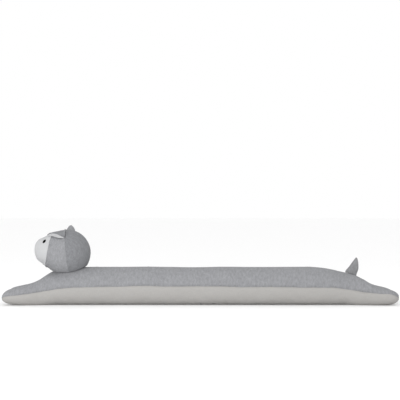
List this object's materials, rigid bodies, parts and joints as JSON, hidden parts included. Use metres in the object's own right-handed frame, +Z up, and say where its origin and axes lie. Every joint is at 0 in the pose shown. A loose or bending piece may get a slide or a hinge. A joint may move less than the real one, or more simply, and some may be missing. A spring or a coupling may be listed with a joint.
{
  "type": "draught excluder",
  "caption": "Stuffed cloth draught excluder shaped as a long animal lying flat, with a round head, a pale face, ears and a pointed tail.",
  "frame": {"origin": "on the floor under the middle of the trunk, in the belly's flat resting strip", "axes": "+X along the trunk towards the tail, so the head is at -X; +Z up; +Y across the trunk towards the animal's right side"},
  "size_m": [0.899, 0.1214, 0.1796],
  "materials": {
    "grey_marl_jersey": "matt marl jersey, light and mid grey yarn mixed",
    "beige_cotton": "matt plain-woven cotton, warm pale beige",
    "pale_jersey": "matt off-white jersey",
    "black_thread": "black embroidery thread, slight sheen"
  },
  "bodies": {
    "root": {"back": "grey_marl_jersey", "belly": "beige_cotton", "face": "pale_jersey", "head_front": "grey_marl_jersey", "head_back": "grey_marl_jersey", "ear_left": "grey_marl_jersey", "ear_left_lining": "pale_jersey", "ear_right": "grey_marl_jersey", "ear_right_lining": "pale_jersey", "eye_left": "black_thread", "eye_right": "black_thread", "tail": "grey_marl_jersey"}
  },
  "joints": []
}
